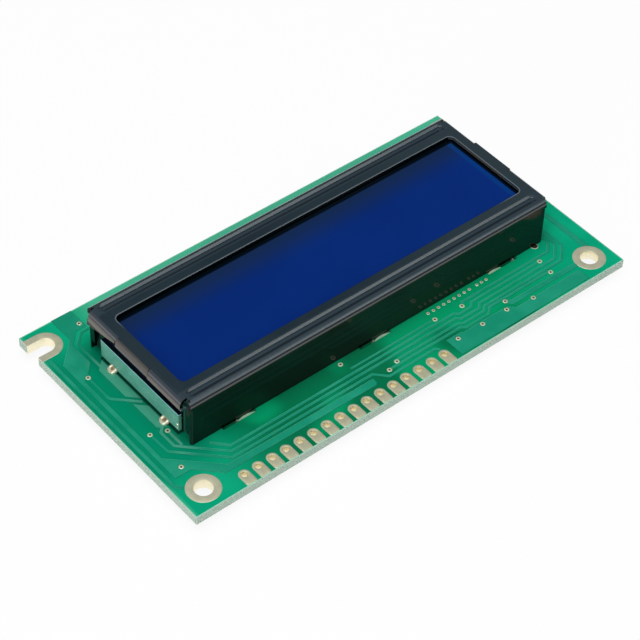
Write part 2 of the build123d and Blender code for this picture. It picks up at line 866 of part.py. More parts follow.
os.makedirs("parts", exist_ok=True)
for name, piece in build().items():
    export_step(piece, f"parts/{name}.step")
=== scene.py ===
from math import cos, pi, radians, sin

import bmesh
import bpy
from mathutils import Matrix, Vector


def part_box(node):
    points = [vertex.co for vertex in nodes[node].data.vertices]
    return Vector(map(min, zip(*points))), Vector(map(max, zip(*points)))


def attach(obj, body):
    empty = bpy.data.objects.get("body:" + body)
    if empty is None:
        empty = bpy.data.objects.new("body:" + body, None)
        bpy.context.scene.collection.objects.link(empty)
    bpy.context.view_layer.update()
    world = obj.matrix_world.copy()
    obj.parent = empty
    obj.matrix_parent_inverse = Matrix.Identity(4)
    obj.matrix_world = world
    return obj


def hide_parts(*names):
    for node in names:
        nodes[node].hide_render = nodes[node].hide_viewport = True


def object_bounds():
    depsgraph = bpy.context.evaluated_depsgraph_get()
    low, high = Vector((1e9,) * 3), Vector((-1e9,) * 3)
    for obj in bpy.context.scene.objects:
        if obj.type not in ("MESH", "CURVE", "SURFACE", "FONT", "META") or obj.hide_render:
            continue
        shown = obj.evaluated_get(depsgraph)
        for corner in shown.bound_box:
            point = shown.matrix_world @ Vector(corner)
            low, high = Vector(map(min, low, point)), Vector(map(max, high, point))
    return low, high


# Looks of the display module. Lengths are in millimetres until they go into a mesh, then in metres.
# Points on the board are measured from its front left corner, and heights from its top face.
# Places in a material are measured from the part's origin, under the middle of the board.

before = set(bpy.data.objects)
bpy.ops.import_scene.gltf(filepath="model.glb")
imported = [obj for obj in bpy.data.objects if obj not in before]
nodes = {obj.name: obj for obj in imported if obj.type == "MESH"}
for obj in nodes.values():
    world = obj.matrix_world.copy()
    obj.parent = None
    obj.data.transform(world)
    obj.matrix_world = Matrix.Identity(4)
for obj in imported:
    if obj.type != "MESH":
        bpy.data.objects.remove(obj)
cad_low, cad_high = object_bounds()

MM = 0.001

# Sizes that the fine pieces share with the CAD nodes that they stand for
board_low, board_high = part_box("circuit_board")
board_length = (board_high.x - board_low.x) / MM
board_width = (board_high.y - board_low.y) / MM
board_thickness = (board_high.z - board_low.z) / MM
light_board_low, light_board_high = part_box("light_board")
frame_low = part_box("light_frame")[0]
copper = 0.05
pad_count = 16
pad_pitch = 2.54
first_pad = 10.08
pad_width = 1.85
pad_inset = 2.07
pad_end_gap = 0.14
pad_bore = 0.5
fixing_x = 4.0
fixing_y = 3.65
fixing_bore = 1.45
fixing_land = 2.65
fixing_plating = 0.08
slot_reach = 2.3
joint_radius = 0.68
groove_depth = 0.4
groove_rows = (-9.18, 12.28)

# Outlines of the CAD nodes that materials and rounded rims follow
board_top = 3.2
bezel_face = 11.9
bezel_middle = 1.55
window_front = -6.9
window_back = 9.75
window_left = -32.925
window_right = 33.125
window_corner = 1.0
hem_tab = (-1.8, 6.0)
land_edge = 13.0
land_pitch = 25.99
land_shift = 1.1
land_last_shift = -1.9

# Fine forms that only this script has
pad_plating = 0.05
pad_swell = 0.02
pad_edge = 0.035
fixing_swell = 0.015
fixing_edge = 0.04
rim_break = 0.3
crown_share = 3
via_share = 0.86
bore_share = 0.42
open_bore_share = 0.84
wide_via = 0.5
via_edge = 0.02
via_slope = 0.45
via_shoulder = 0.6
via_mouth = 0.2
# Dark discs of painted shade over the via holes
hole_shade_middle = 0.3
hole_shade_rim = 0.4
hole_shade_overlap = 0.01
track_round = 0.12
joint_inset = 0.2
joint_tilt = 20.0
joint_lift = 0.34
joint_profile = ((0, 0.1), (0.3, 0.1), (0.36, 0.22), (0.5, 0.28), (0.7, 0.24), (0.84, 0.1), (0.88, -0.1))
wire_profile = ((0, 0.18), (0.26, 0.18), (0.3, 0.14), (0.3, 0.05))
# Sheet of painted shade over the chips at the left end
shade_sheet_thickness = 0.08
shade_sheet_drop = 0.15
shade_sheet_rise = 0.25
cheek_x = 8.5
cheek_back = 0.5
cheek_width = 2.6
cheek_overlap = 0.3
cheek_foot = 0.05
cheek_top = 5.4
rib_pitch = 0.72
rib_depth = 0.16
rib_sharpness = 0.5
groove_round = 0.11
groove_lift = 0.1
back_ease = 0.05
front_ease = 0.4
bezel_round = 0.06
rim_round = 0.2
bezel_smooth_angle = 50.0

# Limits for picking points and edges of CAD nodes: points that count as one, heights that count as the
# same, reach from the middle of a groove and past the window, and angles of flat and of sharp edges
same_point = 0.002
same_level = 0.01
groove_half = 0.85
window_reach = 0.1
flat_angle = 0.5
sharp_angle = 30

# Solder dots on the light board: distance from its front end, height over the board, and radius.
# Their profile is in shares of the radius.
solder_dot_places = ((0.34, 1.65, 0.3), (0.42, 0.9, 0.16))
dot_profile = ((0, 0.5), (0.6, 0.4), (1, 0))
dot_foot = 0.02
dot_tilt = 90

# Steps along each turned or swept outline
pad_steps = 64
fixing_steps = 96
slot_steps = 64
via_steps = 24
hole_shade_steps = 16
joint_steps = 40
wire_steps = 24
dot_steps = 24
shade_sheet_steps = 8
cheek_steps = 48

# Ranges of a noise texture between which one tone gives way to the other
cloud_limits = (0.35, 0.65)
wide_limits = (0.3, 0.7)
grain_limits = (0.4, 0.6)
shade_limits = (0.42, 0.58)
fleck_limits = (0.42, 0.6)

# How far a face looks up, from 0 for an upright one to 1 for a level one
edge_limits = (0.4, 0.6)
bore_limits = (0.2, 0.5)
top_limits = (0.5, 0.9)
level_limits = (0.3, 0.98)
# Painted highlight on bends that look forward
bend_highlight_lift = (0.6, 0.8)
bend_highlight_soft = 0.12
# Painted highlight where the bend meets the wall
wall_edge_lift = (0.2, 0.4)
wall_edge_soft = 0.08

# How far a face looks to the right or to the back, and below zero to the left or to the front
left_limits = (-0.55, -0.4)
# Painted shade on faces that lean back
back_shade_lean = (0.2, 0.6)
# Painted highlight on bends that look forward
bend_highlight_lean = (-0.1, 0.2)
wall_edge_lean = (-0.6, -0.3)
# Painted highlight and painted shade on the edges of the tracks
track_highlight_lean = (0.05, 0.4)
track_shade_lean = (-0.45, -0.05)

# How much of a tone shows where it is strongest
# Painted highlight on bends that look forward
bend_highlight_share = 0.8
wall_edge_share = 0.6
film_teal_share = 0.6

# Roughness, metal and clearness of surfaces that change from place to place
mask_roughness = 0.16
laminate_roughness = 0.75
bare_rim_roughness = 0.6
tin_roughness = (-0.08, 0.1)
bore_roughness = 0.3
bore_metal = 0.85
pebble_roughness = 0.04
wall_roughness = 0.09
paint_roughness = 0.2
corner_roughness = (0.1, 0.6)
ground_roughness = 0.4
glass_clearness = 0.85

# Places on the board where one tone gives way to another, and the lens of bare tin at each tab slot
front_skin = (-0.1, -0.02)
# Painted shade over the middle of the board, between these distances from its middle
middle_shade = (22, 38)
left_edge = (-41.7, -41.3)
back_strip = (15, 17)
back_strip_start = (-34, -28)
left_field = (-34, -30)
left_field_half = (12, 18)
# Painted shadow of the light board on the main board
board_shadow = (-0.1, 1.0)
board_shadow_soft = (0.3, 0.2)
bare_rim = (0.11, 0.16)
# Painted highlight along the top arris of the laminate
laminate_highlight = (-0.12, -0.06)
left_copper = (-38, -35.5)
left_copper_end = (-34, -31)
left_copper_half = (10, 13)
lens_half = 1.65
lens_depth = 0.4
lens_edge = (0.95, 1.05)
lens_skin = (-0.1, 0.0)
last_lens = (12, 14)

# Places on the bezel, along the part, outwards from the bezel's middle, or in height
right_paint = (-10, 40)
outer_paint = (9.5, 9.9)
# Painted highlight round the window's rim
window_line = (-0.06, 0.16)
window_line_soft = 0.06
face_skin = (-0.3, -0.2)
window_line_back = (-3.5, -0.5)
window_line_right = (-6.0, -1.0)
# Lines of painted shade along the grooves
groove_lines = ((10.27, 10.35), (11.06, 11.14))
groove_line_soft = 0.04
groove_line_reach = (-33.5, 33.5)
groove_end_soft = 0.3
# Heights of the painted reflections on the hem and on the ear
hem_heights = (10.2, 11.1)
ear_heights = (9.9, 10.2)
hem_tab_soft = 0.1
corner_start = (11.35, 11.5)
corner_gloss_heights = (9.6, 10.4)
wall_edge_start = (12.2, 12.3)
# Painted green light from the board on the tab roots in the slots
root_margin = 0.08
root_soft = 0.06

# Places on the film, from the window's back and right edges
# Painted shade on the film towards the back, and painted shade and reflection of the rim along its edges
film_shade = (-6.5, -0.9)
film_back_line = (-1.0, -0.65)
film_right_line = (-0.75, -0.4)
film_teal = (-1.3, -0.7)
film_teal_soft = 0.3

# Places on the light board, from its top, and on the cheeks, along the board's width
# Painted highlight under the top of the light board and painted shade at its foot
light_board_line = (-0.24, -0.16)
light_board_foot = (-3.5, -3.25)
# Where the cheeks' painted light gives way to painted shade
cheek_light = (-2, 2)

# Tones of the board and its copper, as they look on a screen, from 0 to 255
mask_tones = ((2, 156, 116), (8, 168, 126))
# Painted shade over the middle of the board, round the bezel
shaded_mask_tones = ((0, 106, 68), (0, 148, 98))
left_edge_tone = (48, 172, 134)
back_strip_tone = (84, 188, 154)
left_field_tone = (0, 132, 98)
# Painted shadow of the light board
board_shadow_tone = (0, 66, 46)
mask_fleck_tone = (0, 122, 90)
bare_rim_tone = (140, 196, 172)
laminate_tones = ((146, 172, 156), (216, 228, 214))
# Painted highlight along the top arris of the laminate
laminate_highlight_tone = (206, 228, 208)
copper_tones = ((20, 138, 108), (34, 150, 120))
copper_fleck_tone = (18, 128, 100)
left_copper_tone = (72, 160, 134)
# Painted shadow of the light board, on the copper
copper_shadow_tone = (0, 72, 52)
# Painted highlight and painted shade on the edges of the tracks
track_highlight_tone = (112, 198, 172)
track_shade_tone = (0, 104, 78)

# Tones of bare metal
tin_tones = ((174, 172, 146), (186, 183, 156))
bright_tin_tones = ((196, 208, 176), (214, 222, 194))
fixing_tin_tones = ((178, 176, 153), (190, 187, 164))
solder_tones = ((246, 238, 208), (252, 246, 222))
wire_tones = ((164, 122, 90), (194, 154, 120))
tin_stain_tone = (150, 142, 112)
# Painted reflection of the bright floor on upright walls and bores
bore_reflection_tone = (255, 246, 216)
land_tones = ((156, 192, 162), (182, 210, 180))
# Green mask over the lands, darkened by painted shade at the foot of the wall
shaded_land_mask_tone = (0, 84, 58)

# Tones of the bezel
# Painted light: grey tones of faces that look up or to the left, over the paint's own near black
lit_paint_tones = ((31, 43, 51), (37, 49, 57))
right_paint_tone = (44, 56, 62)
outer_paint_tone = (46, 58, 66)
# Painted shade on faces that lean back
back_shade_tone = (10, 18, 24)
# Painted highlight on bends that look forward
bend_highlight_tone = (88, 98, 104)
# Painted highlight round the window's rim
window_highlight_tone = (92, 102, 110)
# Painted shade in the grooves
groove_shade_tone = (18, 28, 36)
# Painted reflection of the floor on the hem
hem_reflection_tones = ((112, 108, 98), (78, 74, 70))
corner_tone = (2, 6, 6)
# Painted reflection of the green board on the ear
ear_reflection_tone = (4, 22, 18)
wall_tone = (0, 2, 2)
# Painted highlight where the bend meets the wall
wall_edge_highlight_tone = (96, 98, 98)
# Painted green light from the board on the tab roots in the slots
slot_root_board_light_tone = (0, 130, 88)

# Painted shade and highlight over the fold at the left end, each tone with the heights between which it
# takes over
fold_shade_and_highlight_tones = (
    ((10.95, 11.1), (40, 42, 46)),
    ((11.15, 11.3), (92, 94, 100)),
    ((11.4, 11.6), (60, 66, 72)),
)

# Tones of the display and its light
film_tones = ((6, 38, 108), (8, 42, 114))
# Painted shade towards the back of the film
film_shade_tone = (22, 40, 68)
film_teal_tone = (6, 58, 122)
# Painted shade and reflection of the window's rim
film_rim_shade_tone = (1, 8, 15)
glass_tone = (214, 230, 226)
ground_glass_tone = (8, 32, 48)
light_board_tones = ((110, 184, 168), (140, 202, 190))
light_board_fleck_tone = (74, 162, 134)
# Painted highlight under the top edge, then painted shade at the foot and on the top face
light_board_highlight_tone = (176, 226, 236)
light_board_foot_shade_tone = (20, 90, 66)
light_board_top_shade_tone = (6, 26, 44)
# Painted shade and painted green light from the board on the cheeks
shaded_cheek_tones = ((20, 48, 42), (34, 66, 58))
lit_cheek_tones = ((34, 88, 70), (48, 106, 88))
# Painted shade in the gap over the chips
gap_shade_tones = ((10, 34, 54), (20, 50, 74))
# Painted shade in the via holes
hole_shade_tones = ((26, 30, 18), (48, 46, 32))

# Plain looks: material, first and second tone, roughness, metal, and the CAD nodes that carry it
plain_looks = (
    ("seal_resin", (110, 112, 116), (124, 126, 130), 0.5, 0.0, ("display_seal",)),
    ("connector_rubber", (54, 54, 56), (66, 66, 68), 0.7, 0.0,
     ("front_connector_strip", "rear_connector_strip")),
    ("frame_plastic", (26, 44, 46), (34, 54, 56), 0.4, 0.0, ("light_frame",)),
    ("white_film", (222, 226, 226), (232, 234, 234), 0.5, 0.0, ("reflector_sheet", "diffuser_sheet")),
    ("light_chip_plastic", (226, 222, 190), (236, 232, 200), 0.4, 0.0, ("light_chips",)),
    ("silicon", (96, 96, 108), (110, 110, 120), 0.15, 0.6, ("controller_die", "driver_die")),
    ("drop_resin", (14, 14, 15), (22, 22, 23), 0.28, 0.0, ("controller_drop", "driver_drop")),
    ("resistor_black", (26, 26, 28), (34, 34, 36), 0.45, 0.0, ("resistors",)),
    ("capacitor_tan", (150, 122, 88), (166, 138, 102), 0.5, 0.0, ("capacitors",)),
)

# Camera, from a fit to the board's edges, pads, holes and bezel in the photograph
camera_turn = -40.954
camera_lift = 45.62
camera_roll = 2.086
camera_distance = 333.741
camera_target = (-3.954, -2.856, 3.2)
sensor_width = 36.0
lens = 123.61

# Floor, sky and lamps
floor_reach = 3000
paper_tone = (0.8, 0.8, 0.8, 1.0)
paper_glow = 0.92
sky_tone = (0.8, 0.9, 1.0, 1.0)
sky_strength = 0.04
lamp_distance = 600

# Lamps: name, direction from the part, width, height, strength and tint
lamps = (
    ("overhead_lamp", (-0.1, -0.05, 1.0), 480, 480, 5.2, (0.98, 1.0, 0.99)),
    ("front_lamp", (0.458, -0.68, 0.57), 180, 200, 3.4, (0.94, 1.0, 1.0)),
    ("left_lamp", (-0.9, -0.35, 0.35), 300, 300, 4.4, (0.97, 1.0, 1.0)),
)


# Helpers for places

def spot(x, y, z=0.0):
    """A point on the board in metres, from its front left corner and top face."""
    return Vector((board_low.x + x * MM, board_low.y + y * MM, board_high.z + z * MM))


def from_corner(point):
    """A point of the part as millimetres from the board's front left corner and top face."""
    return (point.x - board_low.x) / MM, (point.y - board_low.y) / MM, (point.z - board_high.z) / MM


def beside(edge, limits):
    """Two places given as distances from an edge."""
    return [edge + limit for limit in limits]


# Helpers for meshes

def finish_mesh(name, bm, material, smooth_angle=35.0):
    """Turns a bmesh into a piece of the part: closed normals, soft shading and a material."""
    bmesh.ops.recalc_face_normals(bm, faces=bm.faces)
    mesh = bpy.data.meshes.new(name)
    bm.to_mesh(mesh)
    bm.free()
    piece = bpy.data.objects.new(name, mesh)
    bpy.context.scene.collection.objects.link(piece)
    mesh.materials.append(material)
    mesh.shade_smooth()
    mesh.set_sharp_from_angle(angle=radians(smooth_angle))
    even = piece.modifiers.new("even", "WEIGHTED_NORMAL")
    even.keep_sharp = True
    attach(piece, "root")
    return piece


def band(bm, inner, outer, section, closed):
    """Sweeps a closed section along two lines of points, from the bore to the rim of a land.

    Each point of the section is (side, distance, height): a distance outwards from the bore,
    or inwards from the rim, and a height over the board."""
    rings = []
    for near, far in zip(inner, outer):
        across = (far - near).normalized()
        ring = []
        for side, distance, height in section:
            base = near + across * distance if side == "bore" else far - across * distance
            ring.append(bm.verts.new(spot(base.x, base.y, height)))
        rings.append(ring)
    count = len(rings)
    for i in range(count if closed else count - 1):
        ring, after = rings[i], rings[(i + 1) % count]
        for j in range(len(ring)):
            k = (j + 1) % len(ring)
            bm.faces.new((ring[j], after[j], after[k], ring[k]))
    if not closed:
        bm.faces.new(rings[0])
        bm.faces.new(rings[-1])


def land_section(swell, edge, wall):
    """Section of a plated land: rounded rim, swollen top, rounded mouth, the bore and the same below."""
    top = copper
    low = -board_thickness - copper
    part_edge = rim_break * edge
    crown = crown_share * edge
    return [
        ("rim", 0.0, 0.0), ("rim", 0.0, top - edge), ("rim", part_edge, top - part_edge),
        ("rim", edge, top), ("rim", crown, top + swell), ("bore", crown, top + swell), ("bore", edge, top),
        ("bore", part_edge, top - part_edge), ("bore", 0.0, top - edge),
        ("bore", 0.0, low + edge), ("bore", edge, low), ("rim", edge, low), ("rim", 0.0, low + edge),
        ("rim", 0.0, -board_thickness), ("bore", wall, -board_thickness), ("bore", wall, 0.0),
    ]


def way_round(i, count):
    """Direction of one of a number of even steps round a circle."""
    turn = 2 * pi * i / count
    return Vector((cos(turn), sin(turn), 0))


def circle(x, y, radius, count):
    return [Vector((x, y, 0)) + way_round(i, count) * radius for i in range(count)]


def pad_outline(x, count):
    """Rim of a U-shaped pad, one point for each direction from its hole."""
    half = pad_width / 2
    points = []
    corner = Vector((half, pad_end_gap - pad_inset, 0)).normalized()
    for i in range(count):
        way = way_round(i, count)
        if way.y >= 0:
            reach = half
        elif abs(way.x) > corner.x:
            reach = half / abs(way.x)
        else:
            reach = (pad_inset - pad_end_gap) / abs(way.y)
        points.append(Vector((x, pad_inset, 0)) + way * reach)
    return points


def slot_line(radius, count, right_end):
    """Half of a slot's outline: in from the board's end, round, and out again."""
    row = board_width - fixing_y
    points = [Vector((0, row + radius, 0))]
    for i in range(count + 1):
        turn = pi / 2 - pi * i / count
        points.append(Vector((slot_reach + radius * cos(turn), row + radius * sin(turn), 0)))
    points.append(Vector((0, row - radius, 0)))
    if right_end:
        return [Vector((board_length - p.x, p.y, 0)) for p in points]
    return points


def lathe(bm, x, y, profile, count):
    """A closed turned form on the board, through (radius, height) points from its top to its foot."""
    top = bm.verts.new(spot(x, y, profile[0][1]))
    rings = []
    for radius, height in profile[1:]:
        rings.append([bm.verts.new(spot(p.x, p.y, height)) for p in circle(x, y, radius, count)])
    for i in range(count):
        bm.faces.new((top, rings[0][i], rings[0][(i + 1) % count]))
    for ring, lower in zip(rings, rings[1:]):
        for i in range(count):
            j = (i + 1) % count
            bm.faces.new((ring[i], lower[i], lower[j], ring[j]))
    bm.faces.new(rings[-1])


def prism(bm, first, last):
    """A closed form between two like outlines."""
    ends = [[bm.verts.new(point) for point in outline] for outline in (first, last)]
    bm.faces.new(ends[0])
    bm.faces.new(ends[1])
    for i in range(len(first)):
        j = (i + 1) % len(first)
        bm.faces.new((ends[0][i], ends[0][j], ends[1][j], ends[1][i]))


def tip(source, target, x, y, angle, lift):
    """Turns a form on the board about its foot, lifts it and adds it to another.

    A turn below zero tips it towards the board's left end."""
    turn = Matrix.Rotation(radians(angle), 4, "Y")
    centre = spot(x, y)
    for vert in source.verts:
        vert.co = turn @ (vert.co - centre) + centre + Vector((0, 0, lift * MM))
    join(source, target)


def join(source, target):
    """Adds one mesh to another."""
    mesh = bpy.data.meshes.new("joined")
    source.to_mesh(mesh)
    source.free()
    target.from_mesh(mesh)
    bpy.data.meshes.remove(mesh)


def round_edges(bm, edges, radius, segments):
    bmesh.ops.bevel(bm, geom=edges, offset=radius * MM, offset_type="OFFSET", segments=segments,
                    profile=0.5, affect="EDGES", clamp_overlap=True)


# Helpers for materials

def new_material(name):
    material = bpy.data.materials.new(name)
    material.use_nodes = True
    tree = material.node_tree
    shader = tree.nodes["Principled BSDF"]
    return material, tree, shader


def colour(red, green, blue):
    """A tone written as it looks on a screen, from 0 to 255, turned into the shader's linear values."""
    def linear(value):
        share = value / 255
        return share / 12.92 if share <= 0.04045 else ((share + 0.055) / 1.055) ** 2.4
    return (linear(red), linear(green), linear(blue), 1.0)


def link(tree, output, target):
    tree.links.new(output, target)


def place_mm(tree):
    """Place on the part in millimetres, as separate X, Y and Z outputs and as one vector."""
    coordinates = tree.nodes.new("ShaderNodeTexCoord")
    scale = tree.nodes.new("ShaderNodeVectorMath")
    scale.operation = "SCALE"
    scale.inputs["Scale"].default_value = 1 / MM
    link(tree, coordinates.outputs["Object"], scale.inputs[0])
    return split(tree, scale.outputs[0]), scale.outputs[0]


def split(tree, vector):
    """A vector's separate X, Y and Z outputs."""
    parts = tree.nodes.new("ShaderNodeSeparateXYZ")
    link(tree, vector, parts.inputs[0])
    return parts.outputs


def noise(tree, vector, scale, detail, roughness=0.5):
    texture = tree.nodes.new("ShaderNodeTexNoise")
    texture.inputs["Scale"].default_value = scale
    texture.inputs["Detail"].default_value = detail
    texture.inputs["Roughness"].default_value = roughness
    link(tree, vector, texture.inputs["Vector"])
    return texture.outputs["Fac"]


def spread(tree, value, low, high, to_low=0.0, to_high=1.0):
    """Maps a value softly from one range onto another, held at both ends."""
    node = tree.nodes.new("ShaderNodeMapRange")
    node.interpolation_type = "SMOOTHSTEP"
    for socket, number in (("From Min", low), ("From Max", high), ("To Min", to_low), ("To Max", to_high)):
        node.inputs[socket].default_value = number
    link(tree, value, node.inputs["Value"])
    return node.outputs["Result"]


def fall(tree, value, low, high, most=1.0):
    """Its most below a range, falling to 0 above it."""
    return spread(tree, value, low, high, most, 0.0)


def work(tree, operation, first, second=None):
    """One step of arithmetic on outputs or numbers."""
    node = tree.nodes.new("ShaderNodeMath")
    node.operation = operation
    for i, value in enumerate((first, second)):
        if isinstance(value, (int, float)):
            node.inputs[i].default_value = value
        elif value is not None:
            link(tree, value, node.inputs[i])
    return node.outputs[0]


def both(tree, first, second):
    """The product of two shares, so that both have to hold."""
    return work(tree, "MULTIPLY", first, second)


def either(tree, first, second):
    """The larger of two shares."""
    return work(tree, "MAXIMUM", first, second)


def from_middle(tree, value, middle=0.0):
    """Distance from a middle, to either side."""
    return work(tree, "ABSOLUTE", work(tree, "SUBTRACT", value, middle))


def blend(tree, share, first, second):
    """Mixes two tones or outputs by a share."""
    node = tree.nodes.new("ShaderNodeMix")
    node.data_type = "RGBA"
    sockets = [s for s in node.inputs if s.type == "RGBA"]
    link(tree, share, node.inputs["Factor"])
    for socket, value in zip(sockets, (first, second)):
        if isinstance(value, tuple):
            socket.default_value = colour(*value)
        else:
            link(tree, value, socket)
    return [s for s in node.outputs if s.type == "RGBA"][0]


def clouds(tree, texture, tones, limits=cloud_limits):
    """Two tones in soft patches that follow a noise texture."""
    return blend(tree, spread(tree, texture, *limits), *tones)


def bumps(tree, height, strength, distance, under=None):
    """The normal of a slightly rough surface, over another normal if one is given."""
    node = tree.nodes.new("ShaderNodeBump")
    if under is not None:
        link(tree, under, node.inputs["Normal"])
    node.inputs["Strength"].default_value = strength
    node.inputs["Distance"].default_value = distance * MM
    link(tree, height, node.inputs["Height"])
    return node.outputs["Normal"]


def rounded_normal(tree, radius):
    """The normal that a face would have if its edges were rounded, and how far it leans to the back."""
    node = tree.nodes.new("ShaderNodeBevel")
    node.samples = 4
    node.inputs["Radius"].default_value = radius * MM
    return node.outputs["Normal"], split(tree, node.outputs["Normal"])["Y"]


def face_normal(tree):
    """The way that a face looks, as separate X, Y and Z outputs."""
    geometry = tree.nodes.new("ShaderNodeNewGeometry")
    return split(tree, geometry.outputs["Normal"])


def upright(tree, low, high):
    """1 on upright faces, falling to 0 on level ones, whether they look up or down."""
    return fall(tree, from_middle(tree, face_normal(tree)["Z"]), low, high)


def band_of(tree, value, low, high, soft):
    """1 between two limits, falling to 0 outside them."""
    return both(tree, spread(tree, value, low - soft, low), fall(tree, value, high, high + soft))


def past_window(tree, place):
    """Distance outwards from the rounded outline of the window."""
    sides = []
    for axis, low, high in (("X", window_left, window_right), ("Y", window_front, window_back)):
        away = from_middle(tree, place[axis], (low + high) / 2)
        away = work(tree, "SUBTRACT", away, (high - low) / 2 - window_corner)
        sides.append(work(tree, "POWER", work(tree, "MAXIMUM", away, 0.0), 2.0))
    return work(tree, "SUBTRACT", work(tree, "SQRT", work(tree, "ADD", *sides)), window_corner)


def on_front(tree, place, share):
    """Keeps a share to the front face of the board."""
    return both(tree, share, spread(tree, place["Z"], *beside(board_top, front_skin)))


def light_board_shadow(tree, place):
    """The painted shadow of the light board on the main board."""
    soft_x, soft_y = board_shadow_soft
    along = band_of(tree, place["X"], *beside(light_board_low.x / MM, board_shadow), soft_x)
    across = band_of(tree, place["Y"], light_board_low.y / MM, light_board_high.y / MM, soft_y)
    return on_front(tree, place, both(tree, along, across))


# Materials of the board

def mask_fields(tree, place, vector):
    """Tones of the mask: soft clouds, painted shade over the middle round the bezel, a painted shadow
    under the light board, and lighter and darker fields that lie mostly on the front.
    """
    mask = clouds(tree, noise(tree, vector, scale=0.12, detail=3.0), mask_tones)
    shaded = clouds(tree, noise(tree, vector, scale=0.09, detail=1.0), shaded_mask_tones, shade_limits)
    # Painted shade over the middle of the board, round the bezel
    middle = fall(tree, from_middle(tree, place["X"]), *middle_shade)
    mask = blend(tree, on_front(tree, place, middle), mask, shaded)
    mask = blend(tree, fall(tree, place["X"], *left_edge, most=0.8), mask, left_edge_tone)
    back = spread(tree, place["Y"], *back_strip, to_high=0.8)
    back = both(tree, back, spread(tree, place["X"], *back_strip_start))
    mask = blend(tree, on_front(tree, place, back), mask, back_strip_tone)
    left = fall(tree, from_middle(tree, place["Y"]), *left_field_half)
    left = both(tree, left, fall(tree, place["X"], *left_field))
    mask = blend(tree, on_front(tree, place, left), mask, left_field_tone)
    # Painted shadow of the light board
    mask = blend(tree, light_board_shadow(tree, place), mask, board_shadow_tone)
    flecks = spread(tree, noise(tree, vector, scale=3.0, detail=4.0), *wide_limits, to_high=0.12)
    return blend(tree, flecks, mask, mask_fleck_tone)


def board_rim(tree, place):
    """The narrow rim of the board that the mask leaves bare."""
    half_length = work(tree, "SUBTRACT", board_length / 2, from_middle(tree, place["X"]))
    half_width = work(tree, "SUBTRACT", board_width / 2, from_middle(tree, place["Y"]))
    return fall(tree, work(tree, "MINIMUM", half_length, half_width), *bare_rim)


def board_material():
    """Glossy mask on both faces, with a bare rim, and sawn glass laminate on the edges with a painted
    highlight along its top arris.
    """
    material, tree, shader = new_material("board_mask")
    place, vector = place_mm(tree)
    rim = board_rim(tree, place)
    mask = blend(tree, rim, mask_fields(tree, place, vector), bare_rim_tone)
    grain = noise(tree, vector, scale=5.0, detail=6.0, roughness=0.7)
    laminate = clouds(tree, grain, laminate_tones, grain_limits)
    # Painted highlight along the top arris of the laminate
    line = spread(tree, place["Z"], *beside(board_top, laminate_highlight))
    laminate = blend(tree, line, laminate, laminate_highlight_tone)
    side = upright(tree, *edge_limits)
    link(tree, blend(tree, side, mask, laminate), shader.inputs["Base Color"])
    rough = either(tree, both(tree, side, laminate_roughness), both(tree, rim, bare_rim_roughness))
    link(tree, either(tree, rough, mask_roughness), shader.inputs["Roughness"])
    link(tree, bumps(tree, grain, strength=0.25, distance=0.05), shader.inputs["Normal"])
    shader.inputs["IOR"].default_value = 1.5
    return material


def masked_copper_material():
    """The same mask where it lies on copper: a little greyer, shaded as if its edges were round, with a
    painted highlight on edges that lean back and painted shade on those that lean forward.
    """
    material, tree, shader = new_material("masked_copper")
    place, vector = place_mm(tree)
    fine = noise(tree, vector, scale=6.0, detail=4.0)
    mask = clouds(tree, noise(tree, vector, scale=0.2, detail=3.0), copper_tones)
    mask = blend(tree, spread(tree, fine, *wide_limits, to_high=0.2), mask, copper_fleck_tone)
    near = both(tree, spread(tree, place["X"], *left_copper), fall(tree, place["X"], *left_copper_end))
    near = both(tree, near, fall(tree, from_middle(tree, place["Y"]), *left_copper_half))
    mask = blend(tree, on_front(tree, place, near), mask, left_copper_tone)
    # Painted shadow of the light board
    mask = blend(tree, light_board_shadow(tree, place), mask, copper_shadow_tone)
    eased, lean_back = rounded_normal(tree, track_round)
    # Painted highlight on edges that lean back, painted shade on those that lean forward
    mask = blend(tree, spread(tree, lean_back, *track_highlight_lean, to_high=0.85), mask, track_highlight_tone)
    mask = blend(tree, fall(tree, lean_back, *track_shade_lean, most=0.7), mask, track_shade_tone)
    link(tree, mask, shader.inputs["Base Color"])
    shader.inputs["Roughness"].default_value = 0.2
    shader.inputs["IOR"].default_value = 1.5
    link(tree, bumps(tree, fine, strength=0.1, distance=0.03, under=eased), shader.inputs["Normal"])
    return material


def tin_material(name, tones, rough, metal):
    """Dull plated metal with fine grain and faint stains; smoother on upright walls, where a painted
    bright reflection lightens it.
    """
    material, tree, shader = new_material(name)
    vector = place_mm(tree)[1]
    fine = noise(tree, vector, scale=9.0, detail=5.0, roughness=0.7)
    tone = clouds(tree, noise(tree, vector, scale=0.9, detail=4.0), tones, wide_limits)
    tone = blend(tree, spread(tree, fine, *cloud_limits, to_high=0.25), tone, tin_stain_tone)
    wall = upright(tree, *bore_limits)
    # Painted reflection of the bright floor on upright walls
    tone = blend(tree, wall, tone, bore_reflection_tone)
    link(tree, tone, shader.inputs["Base Color"])
    link(tree, either(tree, both(tree, wall, bore_metal), metal), shader.inputs["Metallic"])
    gloss = spread(tree, fine, *wide_limits, *beside(rough, tin_roughness))
    gloss = work(tree, "MINIMUM", gloss, spread(tree, wall, 0.0, 1.0, 1.0, bore_roughness))
    link(tree, gloss, shader.inputs["Roughness"])
    link(tree, bumps(tree, fine, strength=0.3, distance=0.03), shader.inputs["Normal"])
    return material


